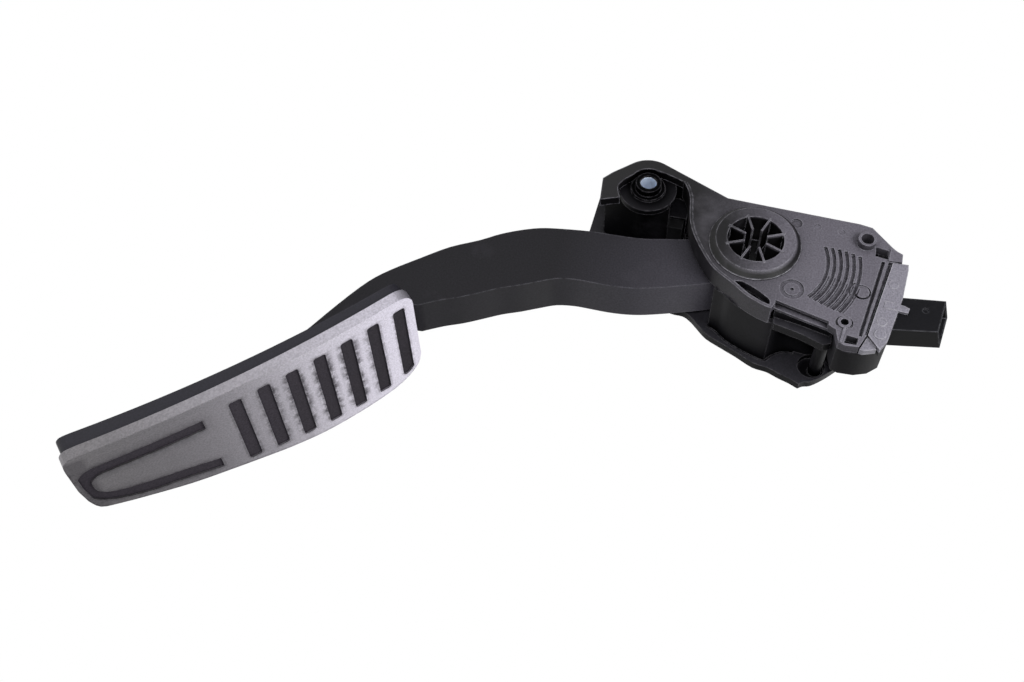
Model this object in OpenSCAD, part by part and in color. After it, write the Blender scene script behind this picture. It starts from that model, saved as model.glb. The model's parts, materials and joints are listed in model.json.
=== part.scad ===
// Accelerator pedal module: bearing housing, swinging arm, metal faced pad.
// Frame: origin on the axis of the mounting sleeve, on the rear mounting plane.
// X runs towards the driver, Z runs up, Y runs back into the car body.
// Depths called "d" below are measured backwards from the front face of the cover.
// All sizes are in millimetres.

/* [Housing] */
// Depth of the whole housing, from cover face to mounting plane
housing_depth = 38; // [34:0.5:42]
// Thickness of the front cover
cover_t = 4; // [3:0.5:5]
// Thickness of the rear mounting plate
plate_t = 3.5; // [2.5:0.5:5]
// Thickness of the shell walls
wall_t = 2; // [1.6:0.1:2.6]
// Depth of the folded skirt along the curved lip of the cover
lip_depth = 9.5; // [7:0.5:10]
// Radius of the ear about the mounting sleeve
ear_r = 12; // [11:0.5:13]
// Depth of the curved grooves of the cover
groove_depth = 1; // [0.4:0.1:1.2]
// Width of those grooves
groove_w = 1.4; // [0.8:0.1:1.6]
// Slant of the connector's mouth, in degrees
mouth_slant = 16; // [0:1:20]
// Height of the bead along the curved lip
bead = 0.4; // [0.2:0.1:0.6]
// Depth of the sensor housing
sensor_depth = 19; // [16:0.5:22]

/* [Mounting] */
// Bore radius of the steel mounting sleeve, for an M6 bolt
sleeve_bore_r = 3.3; // [3.2:0.05:3.5]
// Wall of the steel mounting sleeve
sleeve_wall = 1.2; // [1:0.1:1.6]
// Thickness of the plastic that folds over the front end of the sleeve
sleeve_cover = 0.8; // [0.5:0.1:1.2]
// Radius of the boss around the mounting sleeve
boss_r = 7; // [6.6:0.1:8]
// Radius of the shelf around that boss
shelf_r = 11.7; // [10:0.1:11.9]
// Depth of the boss below the cover's face
boss_drop = 3; // [2:0.2:3.8]
// Radius of the collar that holds the sleeve, in front of the boss
collar_r = 5.2; // [5:0.1:6]
// Middle of the flange's round corner, towards the driver
eye_x = 52.5; // [51:0.5:54]
// Height of the middle of that corner
eye_z = 77; // [76:0.5:78]
// Radius of the recess in that corner
recess_r = 5.4; // [5:0.1:5.8]
// Radius of the post in the recess
recess_post_r = 2.6; // [2:0.1:3]
// Floor left behind the recess
recess_floor = 1; // [0.8:0.1:1.5]
// Position of the locating bore in the back, towards the driver
peg_x = 36.5; // [36:0.5:37]
// Height of the locating bore
peg_z = 74; // [73:0.5:74]
// Depth of the locating bore
peg_depth = 22; // [18:1:22]

/* [Pivot] */
// Pivot position towards the driver
pivot_x = 22; // [21.5:0.5:22.5]
// Pivot height
pivot_z = 46; // [45.5:0.5:46.5]
// Radius of the front journal
journal_r = 13; // [12.5:0.1:13.4]
// Radius of the rear journal
tail_r = 11; // [10:0.5:12]
// Running clearance of the journals in their bushes
running = 0.05; // [0.03:0.01:0.09]
// Wall of the bushes
bush_t = 1.5; // [1:0.1:1.8]
// Radius of the raised head on its outer face
head_r = 15.5; // [15:0.1:16]
// Radius of the raised head at its foot
head_foot_r = 18; // [17:0.1:18.5]
// Height that the head stands in front of the cover
head_rise = 3; // [2:0.5:4]
// Radius of the bore in the head
head_bore_r = 11; // [10:0.1:11.4]
// Number of ribs in the bore
rib_count = 8; // [6:1:10]
// Thickness of those ribs
rib_t = 0.8; // [0.6:0.1:1.2]
// Radius where the ribs end
rib_in_r = 4.5; // [3:0.5:6]
// Radius where the ribs run out on the head's face
rib_out_r = 11.9; // [11.5:0.1:12.4]
// Radius of the arm's hub
hub_r = 16.5; // [16:0.1:16.8]

/* [Arm] */
// Depth of the arm's near side
arm_near = 10; // [9.6:0.2:11]
// Space between the arm's far side and the rear plate
arm_gap = 6; // [5:0.5:7]
// Wall of the hollow arm
arm_wall = 2.5; // [2:0.1:3]

/* [Springs] */
// Spring axis, towards the driver
spring_x = 12; // [11.8:0.1:12.5]
// Height of the moving end of the springs
spring_low = 52; // [51.5:0.5:52.5]
// Height of the fixed end of the springs
spring_top = 88; // [87:0.5:88.5]
// Coil radius of the outer spring, at the wire's centre
outer_coil_r = 4.5; // [4.2:0.1:4.6]
// Wire radius of the outer spring
outer_wire_r = 0.7; // [0.6:0.1:0.7]
// Turns of the outer spring
outer_turns = 7; // [6:1:8]
// Coil radius of the inner spring, at the wire's centre
inner_coil_r = 2.7; // [2.4:0.1:2.8]
// Wire radius of the inner spring
inner_wire_r = 0.5; // [0.4:0.1:0.6]
// Turns of the inner spring
inner_turns = 9; // [8:1:11]

/* [Pad] */
// Length of the pad
pad_length = 140; // [130:1:150]
// Radius of the pad's curved face
pad_curve = 600; // [500:10:700]
// Middle of the pad's face, towards the driver
pad_mid_x = 130; // [128:0.5:132]
// Middle of the pad's face, height
pad_mid_z = -124.7; // [-127:0.1:-122]
// Lean of the pad
pad_lean = 46; // [44:0.5:48]
// Thickness of the metal cover
metal_t = 1.5; // [1:0.1:2]
// Depth of the metal side skirts
skirt = 4.5; // [3.5:0.5:6]
// Thickness of the sides of the metal cover
skirt_t = 1.2; // [1:0.1:1.6]
// How far the rubber lies below the metal
sunk = 0.7; // [0.3:0.1:1]
// Thickness of the rubber mat under the metal
mat_t = 2; // [1.5:0.1:3]
// Depth of the carrier behind the face, at the middle
carrier_back = 10.3; // [9:0.1:12]
// How much more that is at the tip, and less at the upper end
carrier_taper = 1.2; // [0:0.1:2]
// Width of one rubber bar
bar_w = 5.2; // [4.5:0.1:6]
// Pitch of the rubber bars
bar_pitch = 11.6; // [11:0.1:12]
// Distance from the pad's upper end to the nearest bar
bar_first = 4; // [3.6:0.2:5]
// Number of rubber bars
bar_count = 7; // [6:1:7]

/* [Hidden] */
$fn = 96;
eps = 0.01;
front_y = -housing_depth;
plate_d = housing_depth - plate_t;
sleeve_r = sleeve_bore_r + sleeve_wall;
bush_r = journal_r + running + bush_t;
tail_bush_r = tail_r + running + bush_t;
arm_far = plate_d - arm_gap;
hub_near = 9.5;
hub_far = plate_d - 3.5;
socket_t = 4;
spring_d = (arm_near + arm_far) / 2;
notch_half = outer_coil_r + outer_wire_r + 0.9;
full_circle = 360;
mat_d = metal_t + mat_t;

function reversed(p) = [for (i = [len(p) - 1:-1:0]) p[i]];

// A smooth curve through the points of an open path
function between(a, b, c, d, t) =
    0.5 * (2 * b + (c - a) * t + (2 * a - 5 * b + 4 * c - d) * t * t
        + (3 * b - a - 3 * c + d) * t * t * t);
function smooth(p, n) = concat([for (i = [0:len(p) - 2]) for (j = [0:n - 1])
    between(p[max(i - 1, 0)], p[i], p[i + 1], p[min(i + 2, len(p) - 1)], j / n)],
    [p[len(p) - 1]]);

function arc_points(x, z, r, a0, a1, n) =
    [for (i = [0:n]) [x + r * cos(a0 + (a1 - a0) * i / n), z + r * sin(a0 + (a1 - a0) * i / n)]];

// Left hand normal of the path at the corner a, b, c
function corner(a, b, c) =
    let(u = (b - a) / norm(b - a), v = (c - b) / norm(c - b),
        n1 = [-u[1], u[0]], n2 = [-v[1], v[0]], m = (n1 + n2) / norm(n1 + n2))
    m / max(0.5, m * n1);
// An open path moved to its left by t
function left_of(p, t) = [for (i = [0:len(p) - 1])
    i == 0 ? p[0] + corner(p[0], p[0] + (p[1] - p[0]) / 2, p[1]) * t
    : i == len(p) - 1 ? p[i] + corner(p[i - 1], (p[i - 1] + p[i]) / 2, p[i]) * t
    : p[i] + corner(p[i - 1], p[i], p[i + 1]) * t];
// A closed outline, drawn anticlockwise, moved inwards by t
function inset(p, t) = [for (i = [0:len(p) - 1])
    p[i] + corner(p[(i + len(p) - 1) % len(p)], p[i], p[(i + 1) % len(p)]) * t];

// Outline in X and Z, made solid between two depths
module slab(points, d0, d1) {
    translate([0, front_y + d1, 0])
        rotate([90, 0, 0])
            linear_extrude(d1 - d0)
                polygon(points);
}
// Round bar along Y between two depths
module rod(x, z, r, d0, d1) {
    translate([x, front_y + d1, z])
        rotate([90, 0, 0])
            cylinder(r = r, h = d1 - d0);
}
// Band between a path and its copy moved to the left
module band(path, t, d0, d1) {
    slab(concat(path, reversed(left_of(path, t))), d0, d1);
}
module box(x0, x1, z0, z1, d0, d1) {
    translate([x0, front_y + d0, z0])
        cube([x1 - x0, d1 - d0, z1 - z0]);
}

// Forward edge of the housing, from the ear's foot over the ear to the upper end
ear_arc = arc_points(0, 0, ear_r, 218, 155.7, 14);
forward_edge = concat([[-2.4, -15.2]], ear_arc, [[1.5, 32.5], [2.3, 49.5], [3.8, 85], [4.7, 90]]);
upper_end = [[10, 95.5], [20.5, 95.8], [48.5, 91.2]];

// Curved lip of the cover
lip = smooth([[-3.2, 13.9], [0.7, 16.2], [5.7, 17.8], [15.8, 19.4], [24.4, 22.8], [34.1, 29],
    [38.6, 33.2], [42.7, 39.2], [47.5, 45.6], [50.5, 51.7], [51.8, 56]], 5);
pocket_rim = smooth([[10, -9.9], [6, -11.5], [2.8, -11.3], [-2.4, -7.3], [-6.3, -0.6], [-6.7, 3.5],
    [-5, 9.5], [-3.2, 13.9]], 5);
eye_slot = concat(smooth([[41.6, 40.6], [46.2, 46.8], [49, 52.4], [49.8, 55.2]], 4),
    smooth([[48.6, 55.2], [47, 54.2], [43.5, 48.8], [41.2, 43.4]], 4));
cover_outline = concat([[1.6, -18.6], [12.9, -17.6], [11.4, -13.8]], pocket_rim,
    [for (i = [1:len(lip) - 1]) lip[i]],
    [[49, 57], [51.8, 66.8], [54.5, 78], [56, 80.6], [61.4, 82], [62.3, 84.6], [62, 89.6],
    [55.7, 92.1], [20.4, 98.6], [20, 102.4], [16.1, 102.4]], reversed(concat(forward_edge, [[13, 98.4]])));

// Bolt flange and rear plate
rear_plate = concat([[-17, -22.4], [8, -23.4]],
    smooth([[14, -21], [20, -13], [27, 0], [32.5, 11], [35.6, 17.8], [36, 23.1], [38.3, 26.8],
    [41.4, 30], [45, 34], [48, 40.2], [51, 46.8], [54.6, 54], [55.5, 59.8], [57.3, 64.4], [58.8, 69]], 3),
    smooth([[60.5, 72.8], [59.2, 74.6], [58.2, 77.6], [54.6, 81.9], [50.9, 85.4], [47.6, 88.2]], 3),
    [[48.5, 91.2]], [[20.5, 95.8], [10, 95.5], [4.7, 90], [3.8, 85], [2.3, 49.5], [1.5, 32.5],
    [-10.9, 5], [-13, -6]]);

// Driver side walls: the outer face of each
// and the wall of the ear, clear of the pressed arm
ear_wall = [[-2.4, -15.2], [2.2, -17.2], [4.8, -9], [6.8, 0], [6.8, 10.3]];
low_wall = smooth([[39.9, 33.6], [41.6, 37.2], [45.2, 41.5], [48.2, 47.5], [51, 55], [51.5, 58]], 4);
deep_wall = concat(smooth([[51.5, 58], [48.5, 60.5], [46, 64.5], [45.6, 69]], 4),
    arc_points(eye_x, eye_z, 7, 205, 112, 10), [[48.9, 85.6], [47.6, 88], [48.3, 91]]);
wide_wall = [[49.4, 57.5], [51, 67.3], [53.6, 78], [54.1, 79.5]];
shelf_inner = [[44.5, 80.5], [43.5, 77], [43.6, 69], [44.2, 63.4], [46.8, 59.4], [49.6, 57.8]];
wall_foot = concat(low_wall, [for (i = [1:12]) deep_wall[i]]);
rim_edge = [[51.5, 58], [52.6, 58.2], [55.2, 69.1], [58.4, 77.6], [57, 80.5]];

// Sensor housing
sensor_outline = [[50.2, 80.6], [56, 80.6], [61.4, 82], [62.5, 85], [62.3, 91], [60.5, 96],
    [57, 99.7], [36.2, 103.8], [22.5, 105], [20, 104.8], [15.7, 102], [13, 98.4], [10, 95.5],
    [20.5, 95.8], [48.5, 91.2], [50.2, 88]];
sensor_inner = [[52.4, 82.8], [56, 82.8], [60, 84], [60.1, 91], [58.6, 95], [56, 97.7], [36, 101.7],
    [22.6, 102.9], [20.6, 102.6], [18, 99.8], [19, 98.1], [50.4, 93.2], [52.4, 88.6]];
lid_outline = [[20.4, 98.9], [55.9, 92.4], [61.7, 97.2], [57, 99.7], [36.2, 103.8], [22.5, 105],
    [20, 104.8]];
tab_outline = [[56.2, 92.35], [62.2, 90], [62.5, 91.5], [60.9, 96.1]];
shroud_outline = [[35.4, 104], [33.2, 123.2], [47.8, 121.4], [51, 100.8]];

module front_cover() {
    color([0.24, 0.235, 0.26])
    difference() {
        union() {
            slab(cover_outline, 0, cover_t);
            // skirt folded back along the lip
            band(lip, 1.8, 0, lip_depth);
            band(lip, 1.2, -bead, 1);
            // boss behind the front bush
            rod(pivot_x, pivot_z, hub_r, cover_t - 0.5, 6);
            // blank round boss, hollow post
            rod(36.8, 88.6, 2.7, -0.4, 1);
            rod(13, 88.2, 3.5, -3, 1);
            // hook block of the upper clip
            slab([[13.9, 97.6], [20.1, 97.2], [20, 102.2], [16.1, 102.3]], -0.8, 1);
            // plug ring and its rib
            rod(52.4, 83.4, 2.6, -0.8, 1);
            slab([[54.6, 83.3], [61.4, 82.4], [61.5, 83.2], [54.7, 84.1]], -0.6, 1);
        }
        rod(pivot_x, pivot_z, bush_r, -1, 7);
        // room for the boss of the sleeve and for the shell's wall
        rod(0, 0, boss_r + 0.3, -1, cover_t + 1);
        band(reversed(concat(forward_edge, upper_end)), wall_t + 0.05, cover_t, lip_depth + 1);
        // step and slit along the driver side
        slab([[47.3, 57.2], [53, 57.2], [58, 77.8], [52.9, 77.8]], -1, 2.8);
        slab([[46.1, 57.2], [49, 57.2], [54, 77.8], [51.7, 77.8]], 1.4, 2.8);
        slab(eye_slot, -1, cover_t + eps);
        // fan of curved grooves
        for (i = [0:5])
            translate([27.5, front_y, 50.3])
                rotate([90, 0, 0])
                    translate([0, 0, -groove_depth])
                        rotate_extrude(start = 50 + 1.3 * i, angle = 63 - 3.5 * i)
                            translate([24.5 - groove_w / 2 + 2.46 * i, 0])
                                square([groove_w, 2]);
        // finer grooves between their lower ends
        for (i = [0:5])
            translate([27.5, front_y, 50.3])
                rotate([90, 0, 0])
                    translate([0, 0, -groove_depth / 2])
                        rotate_extrude(start = 51 + 1.3 * i, angle = 30 - 2 * i)
                            translate([25.5 + 2.46 * i, 0])
                                square([0.5, 2]);
        // ring and short groove about the blank boss
        difference() {
            rod(36.8, 88.6, 3.4, -1, groove_depth);
            rod(36.8, 88.6, 2.7, -2, 2);
        }
        // ring about the plug
        difference() {
            rod(52.4, 83.4, 3.3, -1, groove_depth);
            rod(52.4, 83.4, 2.6, -2, 2);
            box(54, 63, 80, 87, -2, 2);
        }
        translate([36.8, front_y, 88.6])
            rotate([90, 0, 0])
                translate([0, 0, -groove_depth])
                    rotate_extrude(start = 215, angle = 110)
                        translate([4.4, 0])
                            square([0.7, 2]);
        // mould gate disc with its ring
        difference() {
            rod(40.9, 62.6, 4.6, -1, 0.6);
            rod(40.9, 62.6, 3, -2, 2);
        }
        rod(40.9, 62.6, 0.7, -1, 1.2);
        rod(8.5, 60.8, 2.2, -1, 0.8);
        rod(13, 88.2, 2.5, -4, 3.2);
        rod(52.4, 83.4, 1.5, -1, 3);
        rod(8.7, 69, 1.4, -1, 0.3);
        rod(9.3, 78.4, 1.4, -1, 0.3);
        // snap clip slots
        slab([[13.9, 92.1], [18.4, 92.1], [19.1, 97], [14.7, 97]], -2, cover_t + eps);
        slab([[57.6, 84.8], [61.2, 84], [61.3, 88.6], [58.2, 89.2]], -1, cover_t + eps);
        // straight groove and edge step beside the lid
        slab([[20.5, 94.7], [57, 88.9], [57.2, 90.3], [20.5, 96.1]], -1, 1.6);
        slab([[20.3, 97.3], [56, 91.2], [56.3, 93], [20.3, 99.4]], -1, 1.6);
    }
}

module housing_shell() {
    color([0.17, 0.165, 0.185]) {
    // post in the recess of the corner
    rod(eye_x - 0.9, eye_z + 1.2, recess_post_r, 11, housing_depth - recess_floor + 0.5);
    difference() {
        union() {
            slab(rear_plate, plate_d, housing_depth);
            // forward wall over the ear, and the upper end wall
            band(reversed(concat(forward_edge, upper_end)), wall_t, cover_t, plate_d + eps);
            // driver side walls
            band(low_wall, wall_t, lip_depth, plate_d + eps);
            band(deep_wall, wall_t, 10, plate_d + eps);
            band(wide_wall, wall_t, cover_t, 8 + eps);
            slab(concat(rim_edge, reversed(left_of(wide_wall, wall_t))), 8, 10 + eps);
            slab(concat(rim_edge, shelf_inner), 10, 12);
            // boss and shelf of the mounting sleeve
            rod(0, 0, boss_r, boss_drop, plate_d + eps);
            rod(0, 0, collar_r, 0, boss_drop + 1);
            // wall that closes the ear behind the shelf
            band(ear_wall, wall_t, cover_t, plate_d + eps);
            rod(0, 0, shelf_r, cover_t, cover_t + 2.5);
            // web from the boss to the forward wall
            box(-11, -5, -1, 1, cover_t, plate_d + eps);
            // rear bearing boss
            rod(pivot_x, pivot_z, 15, hub_far + 0.3, housing_depth);
            // boss of the locating bore
            rod(peg_x, peg_z, sleeve_bore_r + 2.5, housing_depth - peg_depth - 2, plate_d + eps);
            // seat rib of the springs
            box(4.6, 19.5, 89.5, 91.5, 13, plate_d + eps);
            // brackets of the two stops
            box(3, 10.7, 62.5, 70.5, hub_far - socket_t - 0.2, plate_d + eps);
            box(-5, 5, 8, 17.5, arm_near + 3, plate_d + eps);
        }
        rod(0, 0, sleeve_bore_r + 0.05, -1, 2);
        rod(0, 0, sleeve_r, sleeve_cover, housing_depth + 1);
        rod(peg_x, peg_z, sleeve_bore_r, housing_depth - peg_depth, housing_depth + 1);
        rod(eye_x - 1.4, eye_z - 0.4, recess_r, 12 + eps, housing_depth - recess_floor);
        rod(pivot_x, pivot_z, tail_bush_r, hub_far - 1, housing_depth + 1);
        // groove in the flange along the foot of the walls
        slab(concat(wall_foot, reversed(left_of(wall_foot, -1.2))), plate_d - 1, plate_d + 1);
        // passage of the circuit board through the end wall
        box(22, 46, 88, 99, cover_t - 1, 7.5);
    }
    }
}

module mounting_sleeve() {
    color([0.72, 0.75, 0.8])
    difference() {
        rod(0, 0, sleeve_r, sleeve_cover, housing_depth);
        rod(0, 0, sleeve_bore_r, -1, housing_depth + 1);
    }
}

module sensor_housing() {
    color([0.16, 0.16, 0.18])
    difference() {
        slab(sensor_outline, cover_t, sensor_depth);
        slab(sensor_inner, cover_t - 1, sensor_depth - 2);
        // passage of the circuit board
        box(22, 46, 90, 99, cover_t - 1, 7.5);
        // passage of the pins
        box(37, 47, 98, 106, 5.5, 9.5);
    }
}

module sensor_lid() {
    color([0.68, 0.67, 0.72])
    union() {
        slab(lid_outline, 0, 2);
        // locating tab over the connector
        slab([[39, 97.6], [42.3, 97], [43.2, 106.1], [40.8, 106.6], [39.9, 104.4]], -0.3, 0.8);
        // blank discs and boss
        rod(30.8, 100, 1.9, -0.25, 1);
        rod(49, 96.9, 1.9, -0.25, 1);
        rod(55, 96.7, 2.2, -0.6, 1);
        // corner tab at the lower clip
        slab(tab_outline, 1.2, cover_t);
        slab([[57, 91.9], [60.4, 95], [59.4, 96.6], [56.4, 94]], 1.2, 2);
    }
}

module lid_seal() {
    color([0.1, 0.1, 0.11])
    difference() {
        slab(lid_outline, 2, cover_t);
        slab(inset(lid_outline, 1.6), 1, cover_t + 1);
    }
}

module connector_shroud() {
    color([0.13, 0.13, 0.15])
    difference() {
        slab(shroud_outline, 0.9, 11.4);
        slab(sensor_outline, -1, sensor_depth);
        slab(lid_outline, -1, sensor_depth);
        // socket, open at the upper end
        slab([[37, 107.5], [34.4, 125], [46.6, 124], [48.6, 105.6]], 2.3, 9.8);
        // slanted mouth
        translate([33.6, front_y + 0.9, 119.8])
            rotate([0, 8.5, 0])
                rotate([mouth_slant, 0, 0])
                    translate([-5, -20, 0])
                        cube([30, 60, 20]);
        // pin passages
        box(37.6, 46.9, 100, 108, 5.4, 7.6);
        // key mark
        rod(39.6, 112.6, 1.1, 0, 1.4);
    }
}

module connector_pins() {
    color([0.8, 0.68, 0.35])
    for (i = [0:3])
        box(38.4 + 2.3 * i, 39.2 + 2.3 * i, 96, 112, 6.6, 7.2);
}

module circuit_board() {
    color([0.1, 0.3, 0.18])
    difference() {
        union() {
            slab([[9, 68], [44, 68], [45.5, 88.5], [45.5, 98.5], [24, 98.8], [22.4, 93], [9, 90]], 5, 6.6);
            box(26, 33, 84, 91, 4.2, 5 + eps);
            box(38, 43, 90, 93, 4.2, 5 + eps);
        }
        rod(pivot_x, pivot_z, 20, 4, 8);
    }
}

module front_bush() {
    color([0.75, 0.7, 0.6])
    difference() {
        rod(pivot_x, pivot_z, bush_r, 0.2, 6);
        rod(pivot_x, pivot_z, journal_r + running, -1, 7);
    }
}

module rear_bush() {
    color([0.75, 0.7, 0.6])
    difference() {
        rod(pivot_x, pivot_z, tail_bush_r, hub_far + 0.4, housing_depth - 0.4);
        rod(pivot_x, pivot_z, tail_r + running, hub_far - 1, housing_depth + 1);
    }
}

module idle_stop() {
    color([0.08, 0.08, 0.08])
    box(10.7, 14.6, 63.5, 69.5, hub_far - socket_t, hub_far);
}

module full_travel_stop() {
    color([0.08, 0.08, 0.08])
    box(5, 9.8, 10.5, 16.5, arm_near + 4, arm_far - 3.5);
}

module spring_cap() {
    color([0.8, 0.8, 0.78])
    union() {
        rod_z(spring_x, spring_d, outer_coil_r + outer_wire_r + 0.1, spring_top, spring_top + 1.5);
        rod_z(spring_x, spring_d, 1.7, spring_top - 4, spring_top + eps);
    }
}

// Upright round bar
module rod_z(x, d, r, z0, z1) {
    translate([x, front_y + d, z0])
        cylinder(r = r, h = z1 - z0);
}

// Round wire wound about the upright spring axis
module coil(r, wire, turns) {
    sides = 6;
    per_turn = 14;
    steps = turns * per_turn;
    z0 = spring_low + wire;
    rise = spring_top - spring_low - 2 * wire;
    points = [for (i = [0:steps]) for (j = [0:sides - 1])
        let(a = full_circle * i / per_turn, b = full_circle * j / sides, q = r + wire * cos(b))
        [q * cos(a), q * sin(a), z0 + rise * i / steps + wire * sin(b)]];
    faces = concat([[for (j = [0:sides - 1]) j]],
        [[for (j = [sides - 1:-1:0]) steps * sides + j]],
        [for (i = [0:steps - 1]) for (j = [0:sides - 1])
        [i * sides + j, (i + 1) * sides + j, (i + 1) * sides + (j + 1) % sides,
        i * sides + (j + 1) % sides]]);
    translate([spring_x, front_y + spring_d, 0])
        polyhedron(points, faces, 10);
}

module outer_spring() {
    color([0.5, 0.5, 0.52])
    coil(outer_coil_r, outer_wire_r, outer_turns);
}

module inner_spring() {
    color([0.55, 0.5, 0.42])
    coil(inner_coil_r, inner_wire_r, inner_turns);
}

module spring_seat() {
    color([0.8, 0.8, 0.78])
    union() {
        rod_z(spring_x, spring_d, 5.4, spring_low - 2, spring_low);
        rod_z(spring_x, spring_d, 1.7, spring_low - eps, spring_low + 4);
    }
}

module front_pivot() {
    color([0.25, 0.245, 0.27])
    union() {
        difference() {
            union() {
                translate([pivot_x, front_y - 0.3, pivot_z])
                    rotate([90, 0, 0])
                        cylinder(r1 = head_foot_r, r2 = head_r, h = head_rise - 0.3);
                rod(pivot_x, pivot_z, journal_r, -0.4, 13);
            }
            rod(pivot_x, pivot_z, head_bore_r, -head_rise - 1, 11.5);
        }
        for (i = [0:rib_count - 1])
            translate([pivot_x, front_y, pivot_z])
                rotate([0, 22 + full_circle / rib_count * i, 0])
                    translate([rib_in_r, -head_rise - 0.35, -rib_t / 2])
                        cube([rib_out_r - rib_in_r, 15, rib_t]);
    }
}

module rear_pivot() {
    color([0.2, 0.195, 0.22])
    difference() {
        rod(pivot_x, pivot_z, tail_r, hub_far - socket_t, housing_depth - 0.4);
        rod(pivot_x, pivot_z, tail_r - 2.5, hub_far - socket_t + 2, housing_depth + 1);
    }
}

module sensor_rotor() {
    color([0.78, 0.78, 0.8])
    difference() {
        union() {
            rod(pivot_x, pivot_z, hub_r, 7.6, hub_near);
            slab(concat([[pivot_x, pivot_z]], arc_points(pivot_x, pivot_z, 37, 68, 112, 12)), 7.6, hub_near);
        }
        rod(pivot_x, pivot_z, journal_r + 0.1, 7, 10);
        // cut outs between the blades
        for (a = [76, 90, 104])
            slab([[pivot_x + 22 * cos(a - 3), pivot_z + 22 * sin(a - 3)],
                [pivot_x + 34 * cos(a - 3), pivot_z + 34 * sin(a - 3)],
                [pivot_x + 34 * cos(a + 3), pivot_z + 34 * sin(a + 3)],
                [pivot_x + 22 * cos(a + 3), pivot_z + 22 * sin(a + 3)]], 7, 10);
    }
}

// Pad frame: X to the tip, Z out of the face, origin in the middle of the face
module pad_place() {
    translate([pad_mid_x, 0, pad_mid_z])
        rotate([0, pad_lean, 0])
            children();
}
function from_pad(x, h) = [pad_mid_x + x * cos(pad_lean) + h * sin(pad_lean),
    pad_mid_z - x * sin(pad_lean) + h * cos(pad_lean)];
function back_h(x) = -x * x / (2 * pad_curve) - carrier_back - carrier_taper * x / 70;

// The pad's outlines are drawn for a pad of 140 and stretched: first value to the tip, second is Y
pad_half = pad_length / 2;
function stretch(p) = [for (q = p) [q[0] * pad_length / 140, q[1]]];
pad_outline = stretch(concat(
    smooth([[62, -45], [66.5, -44.4], [69, -42], [69.6, -38]], 4),
    [[69.6, -23]],
    smooth([[68.6, -14.5], [66, -7.6], [59, -4.8], [47, -1.5], [32, 2.4], [17, 5.2], [3, 8], [-8, 10.3],
    [-22, 12.2], [-36, 12.3], [-48, 11.5], [-57, 10], [-63.5, 7], [-68.2, 2.5], [-70, -3.5]], 3),
    [[-70, -38]],
    smooth([[-69.8, -40.5], [-68, -43.4], [-65, -44.7], [-62, -45]], 3)));

// Plan outline, in the pad's frame, made into an upright block
module pad_block(points, h0, h1) {
    translate([0, 0, h0])
        linear_extrude(h1 - h0)
            polygon(points);
}
// Everything behind the curved face, moved back by t
module behind(t) {
    translate([0, 0, -pad_curve])
        rotate([90, 0, 0])
            cylinder(r = pad_curve - t, h = 140, center = true, $fn = 720);
}
module bars() {
    for (i = [0:bar_count - 1])
        round_bar(bar_first - pad_half + bar_pitch * (6 - i), [-37.5, -38, -38.2, -38.4, -38.7, -39, -39][i],
            [4, 5.4, 6.8, 7.6, 7.6, 7, 5][i]);
}
// One bar with rounded corners
module round_bar(x, y0, y1) {
    r = 1.2;
    translate([0, 0, -30])
        linear_extrude(60)
            union() {
                translate([x + r, y0])
                    square([bar_w - 2 * r, y1 - y0]);
                translate([x, y0 + r])
                    square([bar_w, y1 - y0 - 2 * r]);
                for (cx = [x + r, x + bar_w - r])
                    for (cy = [y0 + r, y1 - r])
                        translate([cx, cy])
                            circle(r = r, $fn = 24);
            }
}
module u_rib() {
    pad_block(stretch(concat(reversed(smooth([[19.5, -34.8], [40, -34.8], [56, -34.6], [63, -34], [67, -31],
        [68.6, -27], [68.8, -22], [67.4, -16], [63.5, -11.5], [58, -8.2], [47, -4.6], [32, -2.4],
        [19, 0.8]], 3)), smooth([[19.5, -28.8], [40, -28.8], [56, -28.8], [61, -28.2], [63.8, -25.4],
        [64.2, -21.5], [63, -17.6], [58, -14.2], [47, -11.6], [32, -9], [19, -5.8]], 3))), -30, 30);
}
// The rubber shapes that stand through the metal, kept clear of its skirts
module raised() {
    intersection() {
        union() {
            bars();
            u_rib();
        }
        pad_block(inset(pad_outline, skirt_t + 0.8), -30, 30);
    }
}

module pad_cover() {
    color([0.78, 0.77, 0.8])
    pad_place()
        difference() {
            intersection() {
                pad_block(pad_outline, -30, 10);
                difference() {
                    behind(0);
                    behind(skirt);
                }
            }
            intersection() {
                pad_block(inset(pad_outline, skirt_t), -40, 20);
                behind(metal_t);
            }
            raised();
        }
}

module tread_insert() {
    color([0.3, 0.29, 0.33])
    pad_place()
        union() {
            intersection() {
                pad_block(inset(pad_outline, skirt_t), -40, 20);
                difference() {
                    behind(metal_t);
                    behind(mat_d);
                }
            }
            intersection() {
                raised();
                difference() {
                    behind(sunk);
                    behind(mat_d - 0.5);
                }
            }
        }
}

module pad_carrier() {
    back_edge = [for (x = [-82.5:7.5:82.5]) [x, back_h(x)]];
    color([0.13, 0.125, 0.15])
    pad_place()
        difference() {
            intersection() {
                pad_block(inset(pad_outline, skirt_t), -40, 20);
                behind(mat_d);
                translate([0, 40, 0])
                    rotate([90, 0, 0])
                        linear_extrude(100)
                            polygon(concat(back_edge, [[82.5, 20], [-82.5, 20]]));
            }
            // pockets of the back
            difference() {
                intersection() {
                    pad_block(inset(pad_outline, skirt_t + 2.2), -40, 20);
                    behind(6.5);
                }
                translate([-80, arm_near - housing_depth - 2, -40])
                    cube([96, arm_far - arm_near + 4, 60]);
                translate([-80, -20, -40])
                    cube([160, 2, 60]);
                for (x = [-48, -26, -4, 18, 40])
                    translate([x, -60, -40])
                        cube([2, 100, 60]);
            }
        }
}

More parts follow.
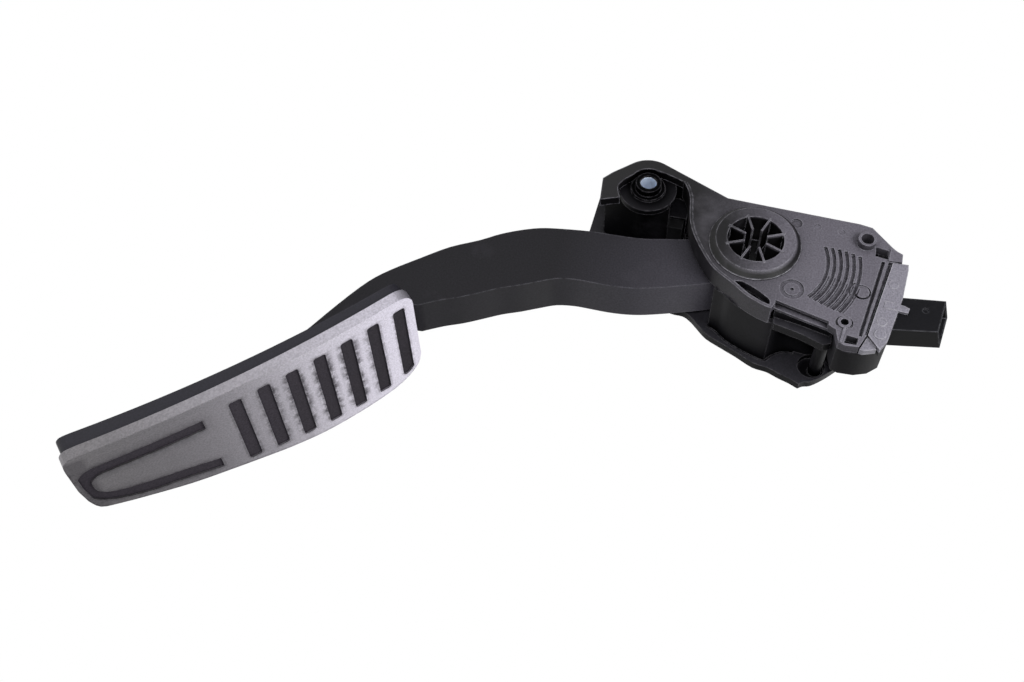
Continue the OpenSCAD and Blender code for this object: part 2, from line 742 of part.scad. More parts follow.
// Side view of the arm
arm_forward = smooth([[17.5, 21], [19.7, 9.6], [21.3, 0.8], [21.7, -11.4], [21.9, -19.6], [23.2, -31.8],
    [24.6, -39.8], [27.4, -47.5], [31.1, -55], [35.8, -62.2], [41.8, -73.2], [49.8, -83.5],
    [58.1, -93.6], [65.5, -100.6], [77.9, -108.6], [95.7, -118.8], [112, -129]], 3);
arm_driver = smooth([[72.2, -78], [68, -70.1], [64.9, -62.8], [61.2, -55.7], [57.3, -48.5],
    [54.2, -41.1], [50.7, -33.8], [48, -27.6], [46.9, -20.6], [46.9, -14.4], [47, -6.4], [46.4, 1.5],
    [44.8, 9.1], [41.3, 20.4], [37.4, 31.7], [35.2, 37]], 3);
foot = concat([for (x = [7.5:-7.5:-67.5]) from_pad(x, back_h(x))], [from_pad(-69.2, back_h(-69.2) - 0.02)]);
arm_outline = concat(arm_forward, foot, arm_driver, [[30, 46], [14, 46], [13.4, 34]]);
// Inside of the hollow arm: both edges moved inwards, closed above the foot
arm_hollow = concat(left_of([for (i = [3:42]) arm_forward[i]], arm_wall), [[75, -93]],
    left_of([for (i = [0:36]) arm_driver[i]], arm_wall));

module pedal_arm() {
    color([0.2, 0.195, 0.22])
    difference() {
        union() {
            slab(arm_outline, arm_near, arm_far);
            rod(pivot_x, pivot_z, hub_r, hub_near, hub_far);
            // finger that meets the idle stop
            box(14.9, 21, 56, 70, hub_far - socket_t, hub_far);
        }
        // hollow of the arm, open at its far side
        difference() {
            slab(arm_hollow, arm_near + arm_wall, arm_far + 1);
            for (z = [-86, -68, -50, -32, -14, 4])
                translate([0, front_y, z])
                    rotate([0, -20, 0])
                        translate([-20, 0, 0])
                            cube([140, 50, 2]);
        }
        // sockets of the two journals
        rod(pivot_x, pivot_z, journal_r, hub_near - 1, 13);
        rod(pivot_x, pivot_z, tail_r, hub_far - socket_t, hub_far + 1);
        // notch of the springs
        box(0, 18, spring_low - 2, 70, spring_d - notch_half, spring_d + notch_half);
    }
}

housing_shell();
front_cover();
mounting_sleeve();
sensor_housing();
sensor_lid();
lid_seal();
connector_shroud();
connector_pins();
circuit_board();
front_bush();
rear_bush();
idle_stop();
full_travel_stop();
spring_cap();
outer_spring();
inner_spring();
spring_seat();
front_pivot();
rear_pivot();
sensor_rotor();
pedal_arm();
pad_carrier();
tread_insert();
pad_cover();
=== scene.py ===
import json
import math

import bpy
from mathutils import Matrix, Vector


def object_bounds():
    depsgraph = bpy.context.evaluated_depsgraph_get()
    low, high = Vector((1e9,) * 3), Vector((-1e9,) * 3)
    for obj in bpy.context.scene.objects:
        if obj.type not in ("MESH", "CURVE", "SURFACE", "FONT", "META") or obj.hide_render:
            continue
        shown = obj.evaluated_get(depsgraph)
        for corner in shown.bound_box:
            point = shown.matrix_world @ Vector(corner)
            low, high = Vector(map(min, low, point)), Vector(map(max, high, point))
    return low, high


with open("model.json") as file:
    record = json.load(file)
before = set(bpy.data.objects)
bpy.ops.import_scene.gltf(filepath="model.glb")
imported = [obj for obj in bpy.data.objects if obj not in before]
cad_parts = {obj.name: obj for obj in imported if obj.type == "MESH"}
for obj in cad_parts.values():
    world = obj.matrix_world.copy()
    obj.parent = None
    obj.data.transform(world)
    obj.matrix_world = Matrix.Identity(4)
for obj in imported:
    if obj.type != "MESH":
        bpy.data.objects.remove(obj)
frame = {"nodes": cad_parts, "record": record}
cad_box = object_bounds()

nodes = frame["nodes"]
scene = bpy.context.scene
mm = 0.001


# Camera: the photograph's place and angle, in the part's frame

eye = Vector((0.3342, -0.428, 0.036))
look = Vector((-0.5290, 0.8345, -0.1543)).normalized()
image_up = Vector((-0.8155, -0.5501, -0.1799))
image_right = look.cross(image_up).normalized()
image_up = image_right.cross(look).normalized()

camera = bpy.data.objects.new("camera", bpy.data.cameras.new("camera"))
scene.collection.objects.link(camera)
scene.camera = camera
camera.matrix_world = Matrix((
    (image_right.x, image_up.x, -look.x, eye.x),
    (image_right.y, image_up.y, -look.y, eye.y),
    (image_right.z, image_up.z, -look.z, eye.z),
    (0, 0, 0, 1),
))
photo_width, focal_pixels, film_width = 1024, 1250, 36
camera.data.sensor_width = film_width
camera.data.lens = focal_pixels / photo_width * film_width
camera.data.clip_start = 0.01


# Helpers for material nodes

def place(tree, kind, values=None, **settings):
    """A node with its settings, and its input sockets set or linked."""
    node = tree.nodes.new(kind)
    for key, value in settings.items():
        setattr(node, key, value)
    for key, value in (values or {}).items():
        socket = node.inputs[key]
        if isinstance(value, bpy.types.NodeSocket):
            tree.links.new(value, socket)
        else:
            socket.default_value = value
    return node


def maths(tree, operation, a, b=0.0, clamp=False):
    return place(tree, "ShaderNodeMath", {0: a, 1: b}, operation=operation, use_clamp=clamp).outputs[0]


def vectors(tree, operation, a, b=(0, 0, 0)):
    return place(tree, "ShaderNodeVectorMath", {0: a, 1: b}, operation=operation)


def scaled(tree, vector, factor):
    return place(tree, "ShaderNodeVectorMath", {0: vector, "Scale": factor}, operation="SCALE").outputs[0]


def noise(tree, where, scale, **values):
    """Noise that depends only on the place: its grey value."""
    return place(tree, "ShaderNodeTexNoise", {"Vector": where, "Scale": scale, **values}).outputs["Fac"]


def object_place(tree):
    return place(tree, "ShaderNodeTexCoord").outputs["Object"]


def ramp(tree, value, low, high, out_low=0.0, out_high=1.0):
    return place(tree, "ShaderNodeMapRange", {
        "Value": value, "From Min": low, "From Max": high, "To Min": out_low, "To Max": out_high,
    }).outputs[0]


def blend_colour(tree, factor, a, b, kind="MIX"):
    node = place(tree, "ShaderNodeMix", data_type="RGBA", blend_type=kind)
    for socket, value in ((node.inputs[0], factor), (node.inputs[6], a), (node.inputs[7], b)):
        if isinstance(value, bpy.types.NodeSocket):
            tree.links.new(value, socket)
        else:
            socket.default_value = value
    return node.outputs[2]


def colour(r, g, b):
    return (r, g, b, 1)


def effect(name, inputs, outputs):
    """An empty node group with named sockets, and its two end nodes."""
    group = bpy.data.node_groups.new(name, "ShaderNodeTree")
    for label, kind, default in inputs:
        socket = group.interface.new_socket(label, in_out="INPUT", socket_type=kind)
        socket.default_value = default
    for label, kind in outputs:
        group.interface.new_socket(label, in_out="OUTPUT", socket_type=kind)
    return group, group.nodes.new("NodeGroupInput"), group.nodes.new("NodeGroupOutput")


NUMBER, TINT, VECTOR = "NodeSocketFloat", "NodeSocketColor", "NodeSocketVector"


def make_moulded_grain():
    """Fine pebble of moulded plastic: a height and slight shade changes."""
    group, start, end = effect("moulded grain", [("Pebble size", NUMBER, 0.0006)],
                               [("Height", NUMBER), ("Mottle", NUMBER), ("Specks", NUMBER)])
    where = object_place(group)
    per_metre = maths(group, "DIVIDE", 1.0, start.outputs["Pebble size"])
    pebbles = place(group, "ShaderNodeTexVoronoi", {"Vector": where, "Scale": per_metre},
                    feature="SMOOTH_F1").outputs["Distance"]
    specks = noise(group, where, 1500.0, Detail=3.0)
    broad = noise(group, where, 40.0, Detail=3.0)
    group.links.new(pebbles, end.inputs["Height"])
    group.links.new(ramp(group, specks, 0.35, 0.65), end.inputs["Specks"])
    group.links.new(ramp(group, broad, 0.25, 0.75), end.inputs["Mottle"])
    return group


def make_edge_mask():
    """Mask of the outer edges, broken by noise: the plastics are lighter there, as edge wear and painted
    highlight, and the pad's metal darker along its slot edges, as dirt and painted shade.
    """
    group, start, end = effect("edge mask", [("Edge width", NUMBER, 0.0008)], [("Mask", NUMBER)])
    rounded = place(group, "ShaderNodeBevel", {"Radius": start.outputs["Edge width"]}, samples=4).outputs[0]
    true = place(group, "ShaderNodeNewGeometry").outputs["Normal"]
    facing = vectors(group, "DOT_PRODUCT", rounded, true).outputs["Value"]
    where = object_place(group)
    broken = noise(group, where, 420.0, Detail=4.0)
    edge = ramp(group, facing, 0.985, 0.86)
    group.links.new(maths(group, "MULTIPLY", edge, ramp(group, broken, 0.3, 0.6), True), end.inputs["Mask"])
    return group


def make_dust():
    """Patches of dull dust and smears."""
    group, start, end = effect("dust", [("Patch size", NUMBER, 0.02), ("Spread", NUMBER, 0.5)],
                               [("Mask", NUMBER)])
    where = object_place(group)
    per_metre = maths(group, "DIVIDE", 1.0, start.outputs["Patch size"])
    patches = noise(group, where, per_metre, Detail=8.0, Roughness=0.65)
    low = maths(group, "SUBTRACT", 0.75, maths(group, "MULTIPLY", start.outputs["Spread"], 0.4))
    high = maths(group, "ADD", low, 0.2)
    group.links.new(ramp(group, patches, low, high), end.inputs["Mask"])
    return group


def make_painted_crevice_shade():
    """Painted shade: a factor that is 1 in the open and small in grooves, corners and bores."""
    group, start, end = effect("painted crevice shade", [("Reach", NUMBER, 0.004), ("Least", NUMBER, 0.3)],
                               [("Factor", NUMBER)])
    open_sky = place(group, "ShaderNodeAmbientOcclusion", {"Distance": start.outputs["Reach"]},
                     samples=6).outputs["AO"]
    factor = ramp(group, open_sky, 0.35, 0.88, start.outputs["Least"], 1.0)
    group.links.new(factor, end.inputs["Factor"])
    return group


moulded_grain = make_moulded_grain()
edge_mask = make_edge_mask()
dust = make_dust()
painted_crevice_shade = make_painted_crevice_shade()


def use(tree, group, **values):
    node = tree.nodes.new("ShaderNodeGroup")
    node.node_tree = group
    for key, value in values.items():
        node.inputs[key.replace("_", " ")].default_value = value
    return node


def finish_of(name, **sockets):
    """A new material with one Principled shader, whose own sockets are set."""
    material = bpy.data.materials.new(name)
    material.use_nodes = True
    tree = material.node_tree
    tree.nodes.clear()
    shader = place(tree, "ShaderNodeBsdfPrincipled", sockets)
    out = tree.nodes.new("ShaderNodeOutputMaterial")
    tree.links.new(shader.outputs[0], out.inputs["Surface"])
    return material, tree, shader


def moulded_plastic(name, base, edge_wear_and_highlight, dusty, rough=0.5, pebble=0.0007, bump=0.06,
                    specular=0.45, least=0.3, shaded=(), painted_shade_spots=(), painted_side_shade=1.0):
    """Pebbled plastic with lighter edges (edge wear and painted highlight) and dust, and painted shade in its
    grooves down to the factor least.
    shaded: painted shade along an axis: the axis, where the tone is darkest and lightest along it, and its
    lowest factor.
    painted_shade_spots: middle of a spot of painted shade, its inner and outer radius, and its lowest factor.
    painted_side_shade: factor of painted shade on the walls that face the driver; above 1 it paints them
    lighter."""
    material, tree, shader = finish_of(name)
    grain = use(tree, moulded_grain, Pebble_size=pebble)
    edge = use(tree, edge_mask)
    dirt = use(tree, dust, Patch_size=0.03, Spread=0.5)
    darker = colour(*(0.9 * part for part in base[:3]))
    body = blend_colour(tree, grain.outputs["Mottle"], darker, base)
    speckle = 0.22
    shade = ramp(tree, grain.outputs["Specks"], 0, 1, 1 - speckle, 1 + speckle)
    # painted shade: darker in grooves, corners and bores, on the colour and the specular
    deep = use(tree, painted_crevice_shade, Least=least)
    shade = maths(tree, "MULTIPLY", shade, deep.outputs["Factor"])
    painted_specular_shade = deep.outputs["Factor"]
    where = object_place(tree)
    along = place(tree, "ShaderNodeSeparateXYZ", {0: where})
    # painted shade along an axis, where the light falls off
    for axis, dark_at, light_at, faint in shaded:
        tone = ramp(tree, along.outputs[axis], dark_at, light_at, faint, 1.0)
        shade = maths(tree, "MULTIPLY", shade, tone)
    # spots of painted shade, on the colour and the specular
    for spot, inner, outer, faint in painted_shade_spots:
        away = vectors(tree, "DISTANCE", where, spot).outputs["Value"]
        tone = ramp(tree, away, inner, outer, faint, 1.0)
        shade = maths(tree, "MULTIPLY", shade, tone)
        painted_specular_shade = maths(tree, "MULTIPLY", painted_specular_shade, tone)
    # painted shade on the walls that face the driver; a factor above 1 paints them lighter
    if painted_side_shade != 1.0:
        normal = place(tree, "ShaderNodeNewGeometry").outputs["Normal"]
        outward = place(tree, "ShaderNodeSeparateXYZ", {0: normal})
        tone = ramp(tree, outward.outputs["X"], 0.25, 0.8, 1.0, painted_side_shade)
        shade = maths(tree, "MULTIPLY", shade, tone)
        painted_specular_shade = maths(tree, "MULTIPLY", painted_specular_shade, tone)
    body = scaled(tree, body, shade)
    body = blend_colour(tree, maths(tree, "MULTIPLY", dirt.outputs["Mask"], 0.35), body, dusty)
    # lighter edges: edge wear and painted highlight
    body = blend_colour(tree, maths(tree, "MULTIPLY", edge.outputs["Mask"], 0.7), body, edge_wear_and_highlight)
    tree.links.new(body, shader.inputs["Base Color"])
    roughness = maths(tree, "ADD", rough - 0.06, maths(tree, "MULTIPLY", grain.outputs["Mottle"], 0.1))
    roughness = maths(tree, "ADD", roughness, maths(tree, "MULTIPLY", dirt.outputs["Mask"], 0.15), True)
    tree.links.new(roughness, shader.inputs["Roughness"])
    relief = place(tree, "ShaderNodeBump", {
        "Height": grain.outputs["Height"], "Strength": bump, "Distance": 0.0002,
    })
    tree.links.new(relief.outputs[0], shader.inputs["Normal"])
    # the specular level carries the same painted shade
    tree.links.new(maths(tree, "MULTIPLY", painted_specular_shade, specular), shader.inputs["Specular IOR Level"])
    return material


def plated_metal(name, base, stained, rough, lines, metal=1.0):
    """Metal with drawn or brushed lines: lines is the stretch of the noise along X, Y and Z."""
    material, tree, shader = finish_of(name, Metallic=metal)
    drawn = place(tree, "ShaderNodeMapping", {"Vector": object_place(tree), "Scale": lines}).outputs[0]
    streaks = noise(tree, drawn, 1.0, Detail=6.0)
    dirt = use(tree, dust, Patch_size=0.012, Spread=0.4)
    body = blend_colour(tree, maths(tree, "MULTIPLY", dirt.outputs["Mask"], 0.6), base, stained)
    tree.links.new(body, shader.inputs["Base Color"])
    roughness = maths(tree, "ADD", rough - 0.05, maths(tree, "MULTIPLY", streaks, 0.1))
    roughness = maths(tree, "ADD", roughness, maths(tree, "MULTIPLY", dirt.outputs["Mask"], 0.2), True)
    tree.links.new(roughness, shader.inputs["Roughness"])
    relief = place(tree, "ShaderNodeBump", {"Height": streaks, "Strength": 0.12, "Distance": 0.0001})
    tree.links.new(relief.outputs[0], shader.inputs["Normal"])
    return material


# The pad's face is a part of a cylinder: its lean, bend radius and middle, and the middle of the bend
pad_lean = math.radians(46)
pad_bend = 600 * mm
pad_middle = Vector((130, 0, -124.7)) * mm
bend_centre = pad_middle - pad_bend * Vector((math.sin(pad_lean), 0, math.cos(pad_lean)))

# Along the face from its middle: the first bar (upward), the start of the U's legs and its bend
first_bar, bar_pitch = 63.4 * mm, 11.6 * mm
leg_start, turn_at = 19.5 * mm, 65.5 * mm
# Each leg of the U: its place across the face at its start, and its slope
u_legs = ((-31.8 * mm, 0.0), (-2.5 * mm, -0.22))


def make_bend():
    """Normal of the pad's curved face, and how much a surface belongs to that face."""
    group, start, end = effect("pad bend", [], [("Normal", VECTOR), ("On face", NUMBER)])
    geometry = place(group, "ShaderNodeNewGeometry")
    where = object_place(group)
    spoke = vectors(group, "SUBTRACT", where, bend_centre).outputs[0]
    spoke = vectors(group, "MULTIPLY", spoke, (1, 0, 1)).outputs[0]
    spoke = place(group, "ShaderNodeVectorTransform", {0: spoke}, vector_type="NORMAL",
                  convert_from="OBJECT", convert_to="WORLD").outputs[0]
    spoke = vectors(group, "NORMALIZE", spoke).outputs[0]
    facing = vectors(group, "DOT_PRODUCT", spoke, geometry.outputs["True Normal"]).outputs["Value"]
    on_face = ramp(group, facing, 0.985, 0.996)
    own = scaled(group, geometry.outputs["Normal"], maths(group, "SUBTRACT", 1.0, on_face))
    both = vectors(group, "ADD", own, scaled(group, spoke, on_face)).outputs[0]
    both = vectors(group, "NORMALIZE", both).outputs[0]
    group.links.new(both, end.inputs["Normal"])
    group.links.new(on_face, end.inputs["On face"])
    return group


def pad_aluminium():
    """Brushed, worn metal: painted light toward the top end of the face, rubber smears between the bars, dark
    dirt and painted shade along the slot edges, painted shade on the skirts.
    """
    material, tree, shader = finish_of("pad aluminium", Metallic=0.85)
    where = object_place(tree)
    bend = use(tree, make_bend())
    grain = use(tree, moulded_grain, Pebble_size=0.0006)
    dirt = use(tree, dust, Patch_size=0.02, Spread=0.3)
    edge = use(tree, edge_mask, Edge_width=0.0022)
    down = Vector((math.cos(pad_lean), 0, -math.sin(pad_lean)))
    along = vectors(tree, "DOT_PRODUCT", where, down).outputs["Value"]
    along = maths(tree, "SUBTRACT", along, pad_middle.dot(down))
    across = place(tree, "ShaderNodeSeparateXYZ", {0: where}).outputs["Y"]
    painted_light_top, painted_shade_tip, stained = colour(0.7, 0.67, 0.765), colour(0.6, 0.575, 0.605), colour(0.34, 0.32, 0.345)
    # painted light: the face is lighter toward its top end and darker toward the tip
    body = blend_colour(tree, ramp(tree, along, -0.06, 0.06), painted_light_top, painted_shade_tip)
    body = blend_colour(tree, maths(tree, "MULTIPLY", dirt.outputs["Mask"], 0.6), body, stained)
    # 1 on the face, 0 on the rolled edges at its far side and its top
    inside = maths(tree, "MULTIPLY", ramp(tree, across, -0.0435, -0.0415), ramp(tree, along, -0.069, -0.066))
    # black smears that shoes have left beside the bars
    patchy = noise(tree, where, 260.0, Detail=12.0, Roughness=0.8)
    from_bar = maths(tree, "PINGPONG", maths(tree, "ADD", along, first_bar), bar_pitch / 2)
    smear = maths(tree, "MULTIPLY", ramp(tree, from_bar, 0.0055, 0.003), ramp(tree, patchy, 0.44, 0.6))
    zone = maths(tree, "MULTIPLY", ramp(tree, along, -0.058, -0.045), ramp(tree, along, 0.012, -0.01))
    smear = maths(tree, "MULTIPLY", smear, maths(tree, "MULTIPLY", zone, ramp(tree, across, 0.008, 0.002)))
    smear = maths(tree, "MULTIPLY", smear, ramp(tree, across, -0.041, -0.036))
    # and along the legs and the bend of the U
    for start_at, slope in u_legs:
        leg = maths(tree, "MULTIPLY", maths(tree, "SUBTRACT", along, leg_start), slope)
        leg = maths(tree, "SUBTRACT", maths(tree, "SUBTRACT", across, start_at), leg)
        leg = ramp(tree, maths(tree, "ABSOLUTE", leg), 0.0085, 0.003)
        leg = maths(tree, "MULTIPLY", leg, ramp(tree, along, 0.014, 0.024))
        leg = maths(tree, "MULTIPLY", leg, ramp(tree, patchy, 0.25, 0.7, 0.35, 1.0))
        smear = maths(tree, "MAXIMUM", smear, leg)
    turn = ramp(tree, maths(tree, "ABSOLUTE", maths(tree, "SUBTRACT", along, turn_at)), 0.0055, 0.0025)
    smear = maths(tree, "MAXIMUM", smear, maths(tree, "MULTIPLY", turn, 0.7))
    smear = maths(tree, "MULTIPLY", smear, inside)
    body = blend_colour(tree, maths(tree, "MULTIPLY", smear, 0.85), body, colour(0.07, 0.063, 0.075))
    # dark dirt and painted shade along the slot edges
    slots = maths(tree, "MULTIPLY", edge.outputs["Mask"], maths(tree, "MULTIPLY", inside, 0.85))
    body = blend_colour(tree, slots, body, colour(0.1, 0.09, 0.105))
    shade = ramp(tree, grain.outputs["Specks"], 0, 1, 0.86, 1.12)
    # painted shade: the skirts are darker than the face, most of all toward the tip
    true = place(tree, "ShaderNodeNewGeometry").outputs["True Normal"]
    outward = place(tree, "ShaderNodeSeparateXYZ", {0: true})
    under = ramp(tree, outward.outputs["Y"], 0.08, 0.4)
    side = maths(tree, "MAXIMUM", ramp(tree, outward.outputs["Y"], -0.3, -0.8), under)
    skirt_painted_tone = ramp(tree, along, -0.05, 0.05, 0.95, 0.4)
    painted_skirt_shade = maths(tree, "MULTIPLY", side, maths(tree, "SUBTRACT", 1.0, skirt_painted_tone))
    shade = maths(tree, "MULTIPLY", shade, maths(tree, "SUBTRACT", 1.0, painted_skirt_shade))
    body = scaled(tree, body, shade)
    tree.links.new(body, shader.inputs["Base Color"])
    roughness = maths(tree, "ADD", 0.4, maths(tree, "MULTIPLY", dirt.outputs["Mask"], 0.15))
    roughness = maths(tree, "ADD", roughness, maths(tree, "MULTIPLY", smear, 0.3), True)
    tree.links.new(roughness, shader.inputs["Roughness"])
    relief = place(tree, "ShaderNodeBump", {
        "Height": grain.outputs["Height"], "Strength": 0.1, "Distance": 0.0001,
        "Normal": bend.outputs["Normal"],
    })
    tree.links.new(relief.outputs[0], shader.inputs["Normal"])
    return material


# Painted shade down in the ear, about the sleeve, and in the recess of the corner:
# middle, inner and outer radius, lowest factor
ear_painted_shade = ((0.002, -0.02, 0.004), 0.014, 0.04, 0.3)
sleeve_painted_shade = ((0.0, -0.038, 0.0), 0.008, 0.0115, 0.15)
corner_painted_shade = ((0.0512, -0.001, 0.0768), 0.004, 0.0062, 0.2)

cover_grey, cover_dust = colour(0.15, 0.141, 0.17), colour(0.19, 0.18, 0.21)

# Several finishes carry painted shade: along an axis, in spots in the ear, about the sleeve and in the
# corner, and on the walls that face the driver, which the arm has painted lighter
finishes = {
    "shell_plastic": moulded_plastic("housing black plastic", colour(0.024, 0.023, 0.029),
                                     colour(0.14, 0.135, 0.15), colour(0.05, 0.047, 0.055), specular=0.35,
                                     painted_shade_spots=[ear_painted_shade, sleeve_painted_shade, corner_painted_shade], painted_side_shade=0.27),
    "cover_plastic": moulded_plastic("cover grey plastic", cover_grey,
                                     colour(0.36, 0.35, 0.4), cover_dust, rough=0.45,
                                     shaded=[("Z", 0.02, 0.07, 0.07)], painted_side_shade=0.45, least=0.1),
    "arm_plastic": moulded_plastic("arm black plastic", colour(0.055, 0.052, 0.066),
                                   colour(0.17, 0.165, 0.19), colour(0.075, 0.07, 0.085), pebble=0.0009,
                                   bump=0.1, rough=0.6, specular=0.3,
                                   shaded=[("Z", -0.03, 0.035, 0.25)], painted_side_shade=1.35),
    "carrier_plastic": moulded_plastic("pad carrier black plastic", colour(0.016, 0.015, 0.024),
                                       colour(0.05, 0.048, 0.06), colour(0.04, 0.038, 0.048)),
    "connector_plastic": moulded_plastic("connector black plastic", colour(0.005, 0.005, 0.007),
                                         colour(0.16, 0.16, 0.18), colour(0.02, 0.02, 0.024), rough=0.45,
                                         specular=0.3, painted_side_shade=0.3),
    "lid_plastic": moulded_plastic("sensor lid grey plastic", colour(0.26, 0.25, 0.295),
                                   colour(0.6, 0.59, 0.64), colour(0.26, 0.25, 0.29), rough=0.4),
    "bush_plastic": moulded_plastic("bearing plastic", colour(0.5, 0.47, 0.38),
                                    colour(0.6, 0.57, 0.48), colour(0.3, 0.28, 0.24), rough=0.35),
    "board_laminate": moulded_plastic("board lacquer", colour(0.02, 0.1, 0.05),
                                      colour(0.1, 0.2, 0.1), colour(0.03, 0.08, 0.05), rough=0.25, bump=0.02),
    "tread_rubber": moulded_plastic("tread rubber", colour(0.064, 0.056, 0.07),
                                    colour(0.09, 0.082, 0.1), colour(0.07, 0.064, 0.08), rough=0.85,
                                    pebble=0.0005, bump=0.15, specular=0.2, least=0.15,
                                    shaded=[("X", 0.085, 0.13, 0.65)]),
    "seal_rubber": moulded_plastic("seal rubber", colour(0.02, 0.02, 0.022),
                                   colour(0.05, 0.05, 0.055), colour(0.04, 0.04, 0.045), rough=0.7),
    "stop_rubber": moulded_plastic("stop rubber", colour(0.018, 0.018, 0.02),
                                   colour(0.05, 0.05, 0.055), colour(0.04, 0.04, 0.045), rough=0.75,
                                   painted_shade_spots=[ear_painted_shade]),
    "zinc_steel": plated_metal("zinc plated steel", colour(0.8, 0.88, 1.0), colour(0.6, 0.66, 0.76), 0.42,
                               (900, 60, 900), metal=0.55),
    "spring_steel": plated_metal("spring wire", colour(0.35, 0.35, 0.37), colour(0.2, 0.18, 0.16), 0.3,
                                 (400, 400, 400)),
    "rotor_metal": plated_metal("rotor sheet", colour(0.7, 0.7, 0.72), colour(0.5, 0.5, 0.5), 0.35,
                                (500, 500, 500)),
    "pin_brass": plated_metal("terminal brass", colour(0.7, 0.55, 0.25), colour(0.4, 0.3, 0.18), 0.3,
                              (500, 500, 500)),
    "pad_metal": pad_aluminium(),
}

# The pivot's head is the cover's plastic, with painted shade toward its bottom, down its cone and in its bore
finishes["pivot head"] = moulded_plastic(
    "pivot grey plastic", cover_grey, colour(0.4, 0.39, 0.44), cover_dust, rough=0.45,
    least=0.1, shaded=[("Z", 0.034, 0.058, 0.06), ("Y", -0.0398, -0.0409, 0.05)])

slot_of = {row["node"]: row["material_slot"] for row in frame["record"]["subparts"]}


def round_edges(piece, width, shoulder=0.0):
    """Welds the split corners, then rolls the sharp edges over, and the shoulder wider where asked."""
    piece.data.polygons.foreach_set("use_smooth", [True] * len(piece.data.polygons))
    weld = piece.modifiers.new("weld", "WELD")
    weld.merge_threshold = 0.000002
    if shoulder:
        round_shoulder(piece, shoulder)
    bevel = piece.modifiers.new("rolled edges", "BEVEL")
    bevel.width = width
    bevel.segments = 2
    bevel.limit_method = "ANGLE"
    bevel.angle_limit = math.radians(32)
    bevel.use_clamp_overlap = True
    even = piece.modifiers.new("even shading", "WEIGHTED_NORMAL")
    even.mode = "FACE_AREA"
    even.weight = 80


def shoulder_marks():
    """Marks the long outer edge of the metal face, so that only that edge is rolled over wide."""
    tree = bpy.data.node_groups.new("shoulder marks", "GeometryNodeTree")
    tree.interface.new_socket("Geometry", in_out="INPUT", socket_type="NodeSocketGeometry")
    tree.interface.new_socket("Geometry", in_out="OUTPUT", socket_type="NodeSocketGeometry")
    start, end = tree.nodes.new("NodeGroupInput"), tree.nodes.new("NodeGroupOutput")

    def on(domain, value):
        return place(tree, "GeometryNodeFieldOnDomain", {0: value}, domain=domain).outputs[0]

    position = tree.nodes.new("GeometryNodeInputPosition").outputs[0]
    normal = tree.nodes.new("GeometryNodeInputNormal").outputs[0]
    radial = vectors(tree, "SUBTRACT", position, bend_centre).outputs[0]
    radial = vectors(tree, "MULTIPLY", radial, (1, 0, 1)).outputs[0]
    depth = maths(tree, "SUBTRACT", pad_bend, vectors(tree, "LENGTH", radial).outputs["Value"])
    radial = vectors(tree, "NORMALIZE", radial).outputs[0]
    facing = vectors(tree, "DOT_PRODUCT", normal, radial).outputs["Value"]
    upright = maths(tree, "LESS_THAN", maths(tree, "ABSOLUTE", facing), 0.3)
    skirt = on("FACE", maths(tree, "MULTIPLY", upright, maths(tree, "GREATER_THAN", depth, 1.25 * mm)))
    one_side = maths(tree, "LESS_THAN", maths(tree, "ABSOLUTE", maths(tree, "SUBTRACT", skirt, 0.5)), 0.1)
    on_top = maths(tree, "LESS_THAN", on("EDGE", depth), 0.1 * mm)
    store = place(tree, "GeometryNodeStoreNamedAttribute", {
        "Geometry": start.outputs[0], "Name": "bevel_weight_edge",
        "Value": maths(tree, "MULTIPLY", one_side, on_top),
    }, data_type="FLOAT", domain="EDGE")
    tree.links.new(store.outputs[0], end.inputs[0])
    return tree


def round_shoulder(piece, width):
    marks = piece.modifiers.new("shoulder marks", "NODES")
    marks.node_group = shoulder_marks()
    bevel = piece.modifiers.new("rolled shoulder", "BEVEL")
    bevel.width = width
    bevel.segments = 4
    bevel.limit_method = "WEIGHT"
    bevel.use_clamp_overlap = False


# Widths of the rolled edges in mm
pad_shoulder = 1.7
edge_widths = {
    "front_cover": 0.35, "housing_shell": 0.35, "pedal_arm": 0.7, "pad_cover": 0.35, "tread_insert": 0.3,
    "pad_carrier": 0.4, "front_pivot": 0.3, "sensor_housing": 0.4, "sensor_lid": 0.3, "connector_shroud": 0.3,
    "mounting_sleeve": 0.25,
}
for name, node in nodes.items():
    finish = finishes["pivot head" if name == "front_pivot" else slot_of[name]]
    for slot in node.material_slots:
        slot.material = finish
    if name in edge_widths:
        round_edges(node, edge_widths[name] * mm, pad_shoulder * mm if name == "pad_cover" else 0.0)


# Studio: soft lamps, pale floor, white surroundings

def soft_lamp(name, right, up, back, size, power):
    """Area lamp, placed from the middle of the pedal by the camera's directions."""
    middle = Vector((0.08, -0.02, -0.05))
    lamp = bpy.data.objects.new(name, bpy.data.lights.new(name, "AREA"))
    lamp.location = middle + image_right * right + image_up * up - look * back
    lamp.rotation_mode = "QUATERNION"
    lamp.rotation_quaternion = (middle - lamp.location).to_track_quat("-Z", "Y")
    lamp.data.shape = "DISK"
    lamp.data.size = size
    lamp.data.energy = power
    lamp.visible_camera = False
    scene.collection.objects.link(lamp)


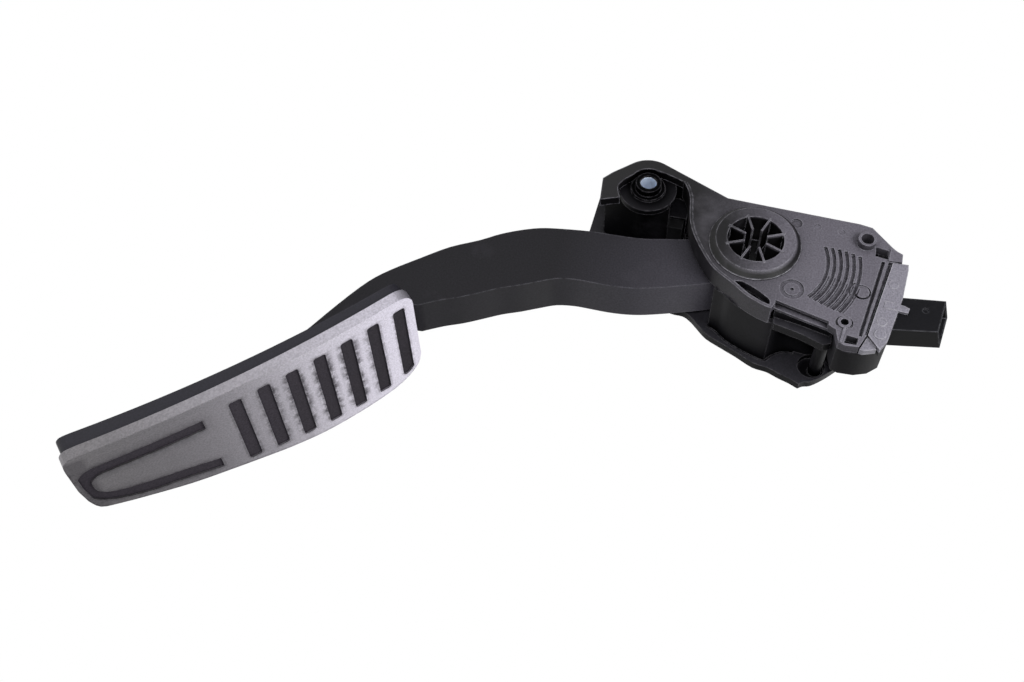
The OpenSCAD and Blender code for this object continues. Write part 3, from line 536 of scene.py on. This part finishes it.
soft_lamp("window side lamp", 0.27, 0.04, 0.26, 0.16, 0.6)
soft_lamp("lamp beside the camera", 0.02, 0.05, 0.5, 0.06, 1.15)
soft_lamp("card behind", 0.4, -0.4, -0.35, 0.6, 1.1)

# The paper lies well below the pedal; beyond the middle it shows plain white to the camera
floor_height = cad_box[0].z - 0.3
bpy.ops.mesh.primitive_plane_add(size=12, location=(0, 0, floor_height))
floor = bpy.context.object
floor.name = "floor"
paper = bpy.data.materials.new("floor paper")
paper.use_nodes = True
tree = paper.node_tree
tree.nodes.clear()
matt = place(tree, "ShaderNodeBsdfDiffuse", {"Color": colour(0.86, 0.86, 0.86)})
glow = place(tree, "ShaderNodeEmission", {"Color": colour(1, 1, 1), "Strength": 1.0})
path = place(tree, "ShaderNodeLightPath")
seen = maths(tree, "MAXIMUM", path.outputs["Is Camera Ray"],
             maths(tree, "MAXIMUM", path.outputs["Is Glossy Ray"], path.outputs["Is Transmission Ray"]))
away = vectors(tree, "LENGTH", object_place(tree)).outputs["Value"]
white = maths(tree, "MULTIPLY", seen, ramp(tree, away, 0.05, 0.25))
mix = place(tree, "ShaderNodeMixShader", {0: white, 1: matt.outputs[0], 2: glow.outputs[0]})
tree.links.new(mix.outputs[0], tree.nodes.new("ShaderNodeOutputMaterial").inputs["Surface"])
floor.data.materials.append(paper)

world = bpy.data.worlds.new("white studio")
scene.world = world
world.use_nodes = True
tree = world.node_tree
tree.nodes.clear()
path = place(tree, "ShaderNodeLightPath")
seen = maths(tree, "MAXIMUM", path.outputs["Is Camera Ray"], path.outputs["Is Transmission Ray"])
around = place(tree, "ShaderNodeBackground", {"Color": colour(1, 1, 1), "Strength": 0.13})
behind = place(tree, "ShaderNodeBackground", {"Color": colour(1, 1, 1), "Strength": 1.0})
mix = place(tree, "ShaderNodeMixShader", {0: seen, 1: around.outputs[0], 2: behind.outputs[0]})
tree.links.new(mix.outputs[0], tree.nodes.new("ShaderNodeOutputWorld").inputs["Surface"])
scene.view_settings.view_transform = "Standard"
